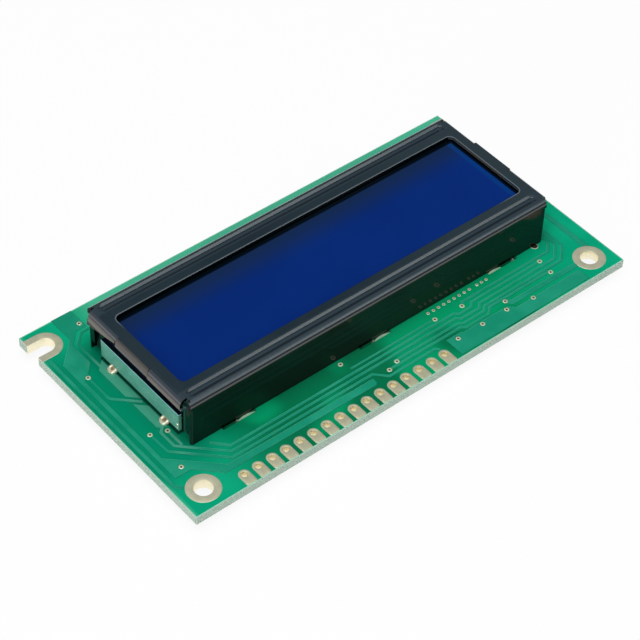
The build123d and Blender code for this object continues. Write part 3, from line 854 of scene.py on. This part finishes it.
def land_material():
    """Lands at the tab slots: bare tin in a lens beside each slot, and green mask round it, darkened by
    painted shade.
    """
    material, tree, shader = new_material("land_tin")
    place, vector = place_mm(tree)
    fine = noise(tree, vector, scale=6.0, detail=4.0)
    shift = spread(tree, place["X"], *last_lens, land_shift, land_last_shift)
    along = work(tree, "PINGPONG", work(tree, "SUBTRACT", place["X"], shift), land_pitch / 2)
    along = work(tree, "POWER", work(tree, "DIVIDE", along, lens_half), 2.0)
    across = work(tree, "SUBTRACT", land_edge, from_middle(tree, place["Y"], bezel_middle))
    across = work(tree, "DIVIDE", across, lens_depth)
    bare = fall(tree, work(tree, "ADD", along, across), *lens_edge)
    bare = both(tree, bare, spread(tree, place["Z"], *beside(board_top, lens_skin)))
    # Mask round the lens, darkened by painted shade
    tone = blend(tree, bare, shaded_land_mask_tone, clouds(tree, fine, land_tones))
    link(tree, tone, shader.inputs["Base Color"])
    shader.inputs["Metallic"].default_value = 0.2
    shader.inputs["Roughness"].default_value = 0.35
    link(tree, bumps(tree, fine, strength=0.3, distance=0.03), shader.inputs["Normal"])
    return material


# Material of the bezel

def paint_fields(tree, place, vector, normal, outer):
    """Grey of the paint as painted light: lighter to the right and near the walls, with painted highlights
    on bends and painted shade on faces that lean back.
    """
    # Grey of painted light on the black paint
    tone = clouds(tree, noise(tree, vector, scale=0.08, detail=2.0), lit_paint_tones)
    tone = blend(tree, spread(tree, place["X"], *right_paint), tone, right_paint_tone)
    tone = blend(tree, spread(tree, outer, *outer_paint), tone, outer_paint_tone)
    # Painted shade on faces that lean back
    tone = blend(tree, spread(tree, normal["Y"], *back_shade_lean), tone, back_shade_tone)
    # Painted highlight on bends that look forward
    bend_highlight = both(tree, band_of(tree, normal["Z"], *bend_highlight_lift, bend_highlight_soft), bend_highlight_share)
    bend_highlight = both(tree, bend_highlight, fall(tree, normal["Y"], *bend_highlight_lean))
    return blend(tree, bend_highlight, tone, bend_highlight_tone)


def window_rim_highlight(tree, place):
    """A painted highlight along the window's rim, at its back and right edges only."""
    rim = band_of(tree, past_window(tree, place), *window_line, window_line_soft)
    rim = both(tree, rim, spread(tree, place["Z"], *beside(bezel_face, face_skin)))
    back = spread(tree, place["Y"], *beside(window_back, window_line_back))
    right = spread(tree, place["X"], *beside(window_right, window_line_right))
    return both(tree, rim, either(tree, back, right))


def groove_shade_lines(tree, place, outer):
    """Two lines of painted shade along each pressed groove."""
    inner_line, outer_line = [band_of(tree, outer, *line, groove_line_soft) for line in groove_lines]
    along = band_of(tree, place["X"], *groove_line_reach, groove_end_soft)
    return both(tree, either(tree, inner_line, outer_line), along)


def left_end(tree, place, corner):
    """Tones of the faces that look left: painted reflection of the floor on the hem, painted highlight and
    shade over its fold, a plain middle tab, the corner, and painted reflection of the green board on the
    ear.
    """
    hem = blend(tree, spread(tree, place["Z"], *hem_heights), *hem_reflection_tones)
    fold = hem
    for heights, tone in fold_shade_and_highlight_tones:
        fold = blend(tree, spread(tree, place["Z"], *heights), fold, tone)
    hem = blend(tree, band_of(tree, place["Y"], *hem_tab, hem_tab_soft), fold, hem)
    hem = blend(tree, corner, hem, corner_tone)
    return blend(tree, spread(tree, place["Z"], *ear_heights), ear_reflection_tone, hem)


def bezel_material():
    """Black paint on steel: near black on the walls, and grey on top and on the end that faces left, where
    painted light lightens it.
    """
    material, tree, shader = new_material("bezel_black")
    place, vector = place_mm(tree)
    normal = face_normal(tree)
    outer = from_middle(tree, place["Y"], bezel_middle)
    pebble = noise(tree, vector, scale=2.2, detail=3.0)
    up = spread(tree, normal["Z"], *level_limits)
    left = fall(tree, normal["X"], *left_limits)
    corner = both(tree, spread(tree, outer, *corner_start), left)
    tone = paint_fields(tree, place, vector, normal, outer)
    # Painted highlight round the window's rim
    tone = blend(tree, window_rim_highlight(tree, place), tone, window_highlight_tone)
    # Painted shade in the grooves
    tone = blend(tree, groove_shade_lines(tree, place, outer), tone, groove_shade_tone)
    tone = blend(tree, left, tone, left_end(tree, place, corner))
    # Faces that look up or to the left keep the grey of painted light, the walls get the paint's own near
    # black
    tone = blend(tree, either(tree, up, left), wall_tone, tone)
    # Painted highlight where the bend meets the wall
    edge = band_of(tree, normal["Z"], *wall_edge_lift, wall_edge_soft)
    edge = both(tree, edge, spread(tree, outer, *wall_edge_start))
    edge = both(tree, edge, fall(tree, normal["Y"], *wall_edge_lean))
    tone = blend(tree, both(tree, edge, wall_edge_share), tone, wall_edge_highlight_tone)
    # Painted green light from the board on the tab roots in the slots
    root = band_of(tree, place["Z"], board_top - board_thickness, board_top - root_margin, root_soft)
    tone = blend(tree, root, tone, slot_root_board_light_tone)
    link(tree, tone, shader.inputs["Base Color"])
    gloss = spread(tree, pebble, *wide_limits, to_high=pebble_roughness)
    dull = spread(tree, place["Z"], *corner_gloss_heights, *corner_roughness)
    gloss = work(tree, "ADD", gloss, both(tree, corner, dull))
    gloss = work(tree, "ADD", gloss, spread(tree, up, 0.0, 1.0, wall_roughness, paint_roughness))
    link(tree, gloss, shader.inputs["Roughness"])
    shader.inputs["IOR"].default_value = 1.4
    link(tree, bumps(tree, pebble, strength=0.1, distance=0.02), shader.inputs["Normal"])
    return material


# Materials of the display and its light

def film_material():
    """Deep blue polarising film, greyer towards the back in painted shade, with painted shade and
    reflection of the rim as dark back and right edges.
    """
    material, tree, shader = new_material("polariser_film")
    place, vector = place_mm(tree)
    tone = clouds(tree, noise(tree, vector, scale=0.05, detail=2.0), film_tones)
    # Painted shade towards the back of the film
    shade = spread(tree, place["Y"], *beside(window_back, film_shade), to_high=0.85)
    tone = blend(tree, shade, tone, film_shade_tone)
    teal = band_of(tree, place["X"], *beside(window_right, film_teal), film_teal_soft)
    tone = blend(tree, both(tree, teal, film_teal_share), tone, film_teal_tone)
    # Painted shade and reflection of the window's rim
    back = spread(tree, place["Y"], *beside(window_back, film_back_line))
    right = spread(tree, place["X"], *beside(window_right, film_right_line))
    tone = blend(tree, either(tree, back, right), tone, film_rim_shade_tone)
    link(tree, tone, shader.inputs["Base Color"])
    shader.inputs["Roughness"].default_value = 0.12
    shader.inputs["IOR"].default_value = 1.3
    return material


def glass_material():
    """Clear glass with a faint tint and ground edges."""
    material, tree, shader = new_material("display_glass")
    side = upright(tree, *edge_limits)
    link(tree, blend(tree, side, glass_tone, ground_glass_tone), shader.inputs["Base Color"])
    link(tree, both(tree, side, ground_roughness), shader.inputs["Roughness"])
    link(tree, fall(tree, side, 0.0, 1.0, glass_clearness), shader.inputs["Transmission Weight"])
    shader.inputs["IOR"].default_value = 1.5
    return material


def light_board_material():
    """Green mask with fine mottling, a painted highlight under the top edge, and painted shade on the top
    and at the foot.
    """
    material, tree, shader = new_material("light_board_mask")
    place, vector = place_mm(tree)
    top = light_board_high.z / MM
    fine = noise(tree, vector, scale=5.0, detail=5.0, roughness=0.7)
    tone = clouds(tree, noise(tree, vector, scale=0.35, detail=3.0), light_board_tones)
    tone = blend(tree, spread(tree, fine, *fleck_limits, to_high=0.75), tone, light_board_fleck_tone)
    # Painted highlight under the top edge
    line = spread(tree, place["Z"], *beside(top, light_board_line))
    tone = blend(tree, line, tone, light_board_highlight_tone)
    # Painted shade at the foot
    foot = fall(tree, place["Z"], *beside(top, light_board_foot))
    tone = blend(tree, foot, tone, light_board_foot_shade_tone)
    # Painted shade on the top face
    tone = blend(tree, spread(tree, face_normal(tree)["Z"], *top_limits), tone, light_board_top_shade_tone)
    link(tree, tone, shader.inputs["Base Color"])
    shader.inputs["Roughness"].default_value = 0.35
    link(tree, bumps(tree, fine, strength=0.3, distance=0.04), shader.inputs["Normal"])
    return material


def cheek_material():
    """Moulded plastic of the ribbed cheeks, with painted green light from the board, lighter at the front
    and in painted shade at the back.
    """
    material, tree, shader = new_material("frame_cheek")
    place, vector = place_mm(tree)
    cloud = noise(tree, vector, scale=1.5, detail=3.0)
    lit = clouds(tree, cloud, lit_cheek_tones)
    shaded = clouds(tree, cloud, shaded_cheek_tones)
    # Painted light at the front of the cheeks, painted shade at the back
    tone = blend(tree, spread(tree, place["Y"], *cheek_light), lit, shaded)
    link(tree, tone, shader.inputs["Base Color"])
    shader.inputs["Roughness"].default_value = 0.3
    return material


# Other materials

def plain_material(name, tones, rough, metal=0.0):
    """A surface of two near tones in fine clouds, with a slight grain."""
    material, tree, shader = new_material(name)
    vector = place_mm(tree)[1]
    tone = clouds(tree, noise(tree, vector, scale=1.5, detail=4.0), tones)
    link(tree, tone, shader.inputs["Base Color"])
    shader.inputs["Metallic"].default_value = metal
    shader.inputs["Roughness"].default_value = rough
    grain = noise(tree, vector, scale=12.0, detail=3.0)
    link(tree, bumps(tree, grain, strength=0.15, distance=0.02), shader.inputs["Normal"])
    return material


def floor_material():
    """White floor: near white to the camera and in reflections, but it keeps the part's soft shadow."""
    material, tree, shader = new_material("floor_white")
    tree.nodes.remove(shader)
    output = tree.nodes["Material Output"]
    paper = tree.nodes.new("ShaderNodeBsdfDiffuse")
    paper.inputs["Color"].default_value = paper_tone
    glow = tree.nodes.new("ShaderNodeEmission")
    glow.inputs["Strength"].default_value = 1.0
    mix = tree.nodes.new("ShaderNodeMixShader")
    path = tree.nodes.new("ShaderNodeLightPath")
    seen = either(tree, path.outputs["Is Camera Ray"], path.outputs["Is Glossy Ray"])
    seen = either(tree, seen, path.outputs["Is Transmission Ray"])
    link(tree, both(tree, seen, paper_glow), mix.inputs["Fac"])
    link(tree, paper.outputs[0], mix.inputs[1])
    link(tree, glow.outputs[0], mix.inputs[2])
    link(tree, mix.outputs[0], output.inputs["Surface"])
    return material


# Pieces on the board

def edge_pads(material):
    """The row of plated pads, each with its hole, on the front edge."""
    bm = bmesh.new()
    section = land_section(pad_swell, pad_edge, pad_plating)
    for i in range(pad_count):
        x = first_pad + pad_pitch * i
        band(bm, circle(x, pad_inset, pad_bore, pad_steps), pad_outline(x, pad_steps), section, True)
    piece = finish_mesh("edge_pads_fine", bm, material)
    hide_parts("edge_pads")


def fixing_lands(material):
    """Plated lands of the two round holes at the front and the two open slots at the back."""
    bm = bmesh.new()
    section = land_section(fixing_swell, fixing_edge, fixing_plating)
    for x in (fixing_x, board_length - fixing_x):
        inner = circle(x, fixing_y, fixing_bore, fixing_steps)
        outer = circle(x, fixing_y, fixing_land, fixing_steps)
        band(bm, inner, outer, section, True)
    for right_end in (False, True):
        inner = slot_line(fixing_bore, slot_steps, right_end)
        outer = slot_line(fixing_land, slot_steps, right_end)
        band(bm, inner, outer, section, False)
    piece = finish_mesh("fixing_lands_fine", bm, material)
    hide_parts("fixing_lands")


def via_places():
    """Middle and ring radius of every via, read from the CAD node."""
    bm = bmesh.new()
    bm.from_mesh(nodes["vias"].data)
    bmesh.ops.remove_doubles(bm, verts=bm.verts, dist=same_point * MM)
    places = []
    left = set(bm.verts)
    while left:
        group = [left.pop()]
        for vert in group:
            for edge in vert.link_edges:
                other = edge.other_vert(vert)
                if other in left:
                    left.remove(other)
                    group.append(other)
        low = [min(v.co[i] for v in group) for i in (0, 1)]
        high = [max(v.co[i] for v in group) for i in (0, 1)]
        x = ((low[0] + high[0]) / 2 - board_low.x) / MM
        y = ((low[1] + high[1]) / 2 - board_low.y) / MM
        places.append((x, y, via_share * (high[0] - low[0]) / 2 / MM))
    bm.free()
    return places


def vias(rim, centre):
    """Plated vias: a rounded ring, with a dark disc of painted shade sunk in the middle over the hole."""
    ring = bmesh.new()
    dark_discs = bmesh.new()
    for x, y, radius in via_places():
        bore = (open_bore_share if radius > wide_via else bore_share) * radius
        slope = via_slope * (radius - bore)
        section = [("rim", 0.0, 0.0), ("rim", via_edge, via_shoulder * copper), ("rim", slope, copper),
                   ("bore", via_edge, copper), ("bore", 0.0, via_mouth * copper), ("bore", 0.0, 0.0)]
        band(ring, circle(x, y, bore, via_steps), circle(x, y, radius, via_steps), section, True)
        # A dark disc of painted shade over the hole
        dark_disc_radius = bore + hole_shade_overlap
        profile = [(0, hole_shade_middle * copper), (dark_disc_radius, hole_shade_rim * copper), (dark_disc_radius, 0.0)]
        lathe(dark_discs, x, y, profile, hole_shade_steps)
    piece = finish_mesh("via_rings", ring, rim)
    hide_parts("vias")
    finish_mesh("via_hole_shade_discs", dark_discs, centre)


# Pieces at the left end

def gap_shade_sheet(material):
    """Thin dark sheet of painted shade over the chips, from the light board to the frame, where the gap
    lies in shade.
    """
    bm = bmesh.new()
    near, end, top = from_corner(light_board_high)
    start = from_corner(light_board_low)[1]
    gap = from_corner(frame_low)[0] - near
    line = []
    for i in range(shade_sheet_steps + 1):
        share = i / shade_sheet_steps
        line.append((near + gap * share, top - shade_sheet_drop + shade_sheet_rise * sin(pi * share)))
    line += [(x, z - shade_sheet_thickness) for x, z in reversed(line)]
    prism(bm, *[[spot(x, y, z) for x, z in line] for y in (start, end)])
    finish_mesh("gap_shade_sheet", bm, material)


def cheek_outline(near, far):
    """Outline of a cheek from above: ribs on the outer side and a flat back."""
    line = []
    for i in range(cheek_steps + 1):
        y = near + (far - near) * i / cheek_steps
        wave = abs(sin(pi * (y - near) / rib_pitch)) ** rib_sharpness
        line.append((cheek_x - rib_depth * wave, y))
    return line + [(cheek_x + cheek_back, far), (cheek_x + cheek_back, near)]


def frame_cheeks(material):
    """Ribbed upright cheeks of the light frame, at the front and back ends of the light board."""
    bm = bmesh.new()
    start = from_corner(light_board_low)[1]
    end = from_corner(light_board_high)[1]
    front_cheek = (start - cheek_width, start + cheek_overlap)
    back_cheek = (end - cheek_overlap, end + cheek_width)
    for near, far in (front_cheek, back_cheek):
        line = cheek_outline(near, far)
        prism(bm, *[[spot(x, y, z) for x, y in line] for z in (cheek_foot, cheek_top)])
    finish_mesh("frame_cheeks", bm, material)


def solder_joints(material, wire):
    """Rings of solder in the corner between the two boards, round the ends of two cut wires."""
    low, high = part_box("solder_joints")
    x, first_y = from_corner(low)[:2]
    last_y = from_corner(high)[1]
    x += joint_radius - joint_inset
    solder = bmesh.new()
    ends = bmesh.new()
    for y in (first_y + joint_radius, last_y - joint_radius):
        forms = ((joint_profile, joint_steps, solder), (wire_profile, wire_steps, ends))
        for profile, steps, target in forms:
            form = bmesh.new()
            lathe(form, x, y, profile, steps)
            tip(form, target, x, y, -joint_tilt, joint_lift)
    piece = finish_mesh("solder_joints_fine", solder, material)
    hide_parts("solder_joints")
    finish_mesh("wire_ends", ends, wire)


def solder_dots(material):
    """Two small dots of solder on the light board's outer face, near its front end."""
    bm = bmesh.new()
    face, start = from_corner(light_board_low)[:2]
    for along, height, radius in solder_dot_places:
        dot = bmesh.new()
        y = start + along
        profile = [(out * radius, rise * radius) for out, rise in dot_profile]
        lathe(dot, face, y, profile + [(radius, -dot_foot)], dot_steps)
        tip(dot, bm, face, y, -dot_tilt, height)
    finish_mesh("solder_dots", bm, material)


# The bezel

def groove_row(vert):
    return groove_rows[0] if vert.co.y < 0 else groove_rows[1]


def on_level(vert, level):
    return abs(vert.co.z - level) < same_level * MM


def on_groove(vert):
    """Whether a point lies on the upper or lower rim of a groove, on the outside of the sheet."""
    level = cad_high.z - (groove_depth - groove_lift) * MM
    near = abs(vert.co.y - groove_row(vert) * MM) < groove_half * MM
    return near and (on_level(vert, level) or on_level(vert, cad_high.z))


def on_window(vert):
    """Whether a point lies on the upper rim of the window."""
    inside_x = abs(vert.co.x) / MM < window_right + window_reach
    inside_y = window_front - window_reach < vert.co.y / MM < window_back + window_reach
    return inside_x and inside_y and on_level(vert, cad_high.z)


def ease_grooves(bm):
    """Draws the floors of the grooves in, so that their flanks slope more gently, most at the front."""
    level = cad_high.z - groove_depth * MM
    for vert in bm.verts:
        offset = vert.co.y - groove_row(vert) * MM
        if on_level(vert, level) and abs(offset) > same_level * MM:
            vert.co.y += -back_ease * MM if offset > 0 else front_ease * MM
            vert.co.z += groove_lift * MM


def bezel(material):
    """The folded bezel with small rounds on its cut edges and pressed corners, and even shading."""
    bm = bmesh.new()
    bm.from_mesh(nodes["bezel"].data)
    bmesh.ops.remove_doubles(bm, verts=bm.verts, dist=same_point * MM)
    ease_grooves(bm)
    bmesh.ops.dissolve_limit(bm, angle_limit=radians(flat_angle), verts=bm.verts, edges=bm.edges)
    pressed = [e for e in bm.edges if all(on_groove(v) for v in e.verts)]
    round_edges(bm, pressed, groove_round, segments=4)
    rim = [e for e in bm.edges if all(on_window(v) for v in e.verts)]
    round_edges(bm, rim, rim_round, segments=4)
    corner = radians(sharp_angle)
    sharp = [e for e in bm.edges if len(e.link_faces) == 2 and e.calc_face_angle(0) > corner]
    round_edges(bm, sharp, bezel_round, segments=3)
    bmesh.ops.triangulate(bm, faces=[f for f in bm.faces if len(f.verts) > 4])
    piece = finish_mesh("bezel_fine", bm, material, bezel_smooth_angle)
    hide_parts("bezel")


# Camera, lights and floor

def camera():
    """A camera at the photograph's angle, turned and lifted from the front and rolled a little."""
    turn, lift, roll = radians(camera_turn), radians(camera_lift), radians(camera_roll)
    back = Vector((sin(turn) * cos(lift), -cos(turn) * cos(lift), sin(lift)))
    level = Vector((cos(turn), sin(turn), 0))
    up = back.cross(level)
    across = level * cos(roll) + up * sin(roll)
    upward = up * cos(roll) - level * sin(roll)
    matrix = Matrix((across, upward, back)).transposed().to_4x4()
    matrix.translation = (Vector(camera_target) + back * camera_distance) * MM
    lens_data = bpy.data.cameras.new("camera")
    lens_data.sensor_width = sensor_width
    lens_data.lens = lens
    lens_data.clip_start = 0.01
    lens_data.clip_end = 20.0
    holder = bpy.data.objects.new("camera", lens_data)
    holder.matrix_world = matrix
    bpy.context.scene.collection.objects.link(holder)
    bpy.context.scene.camera = holder


def softbox(name, way, width, height, strength, tint):
    """A flat lamp that faces the part, with a radiance that its size doesn't change."""
    way = Vector(way).normalized()
    data = bpy.data.lights.new(name, "AREA")
    data.shape = "RECTANGLE"
    data.size = width * MM
    data.size_y = height * MM
    data.energy = strength * pi * width * height * MM * MM
    data.color = tint
    lamp = bpy.data.objects.new(name, data)
    lamp.location = way * lamp_distance * MM
    lamp.rotation_euler = way.to_track_quat("Z", "Y").to_euler()
    bpy.context.scene.collection.objects.link(lamp)


def light():
    """Three soft lamps, over, in front and to the left, and a faint sky."""
    for lamp in lamps:
        softbox(*lamp)
    world = bpy.data.worlds.new("world")
    bpy.context.scene.world = world
    world.use_nodes = True
    background = world.node_tree.nodes["Background"]
    background.inputs["Color"].default_value = sky_tone
    background.inputs["Strength"].default_value = sky_strength


def floor():
    size = floor_reach * MM
    mesh = bpy.data.meshes.new("floor")
    corners = [(-size, -size, 0), (size, -size, 0), (size, size, 0), (-size, size, 0)]
    mesh.from_pydata(corners, [], [(0, 1, 2, 3)])
    mesh.materials.append(floor_material())
    plane = bpy.data.objects.new("floor", mesh)
    bpy.context.scene.collection.objects.link(plane)


def dress(material, *names):
    """Gives CAD nodes their material."""
    for name in names:
        mesh = nodes[name].data
        mesh.materials.clear()
        mesh.materials.append(material)


def dress_nodes(glass, solder):
    """Materials of the CAD nodes that show as they are."""
    dress(board_material(), "circuit_board")
    dress(masked_copper_material(), "front_copper", "back_copper")
    dress(land_material(), "bezel_lands")
    dress(film_material(), "front_polariser", "rear_polariser")
    dress(glass, "front_glass", "rear_glass", "light_guide")
    dress(light_board_material(), "light_board")
    dress(solder, "small_part_ends")
    for name, first, second, rough, metal, carriers in plain_looks:
        dress(plain_material(name, (first, second), rough, metal), *carriers)


def main():
    solder = tin_material("solder", solder_tones, 0.22, 0.3)
    dress_nodes(glass_material(), solder)
    edge_pads(tin_material("tinned_copper", tin_tones, 0.4, 0.2))
    fixing_lands(tin_material("fixing_tin", fixing_tin_tones, 0.4, 0.2))
    bright = tin_material("bright_tin", bright_tin_tones, 0.3, 0.25)
    vias(bright, plain_material("via_hole_shade", hole_shade_tones, 0.4))
    solder_joints(solder, plain_material("wire_end", wire_tones, 0.35, metal=0.4))
    solder_dots(solder)
    bezel(bezel_material())
    # A dark sheet of painted shade in the gap over the chips
    gap_shade_sheet(plain_material("gap_shade_film", gap_shade_tones, 0.35))
    frame_cheeks(cheek_material())
    floor()
    light()
    camera()


main()
bpy.context.scene.view_settings.view_transform = "Standard"
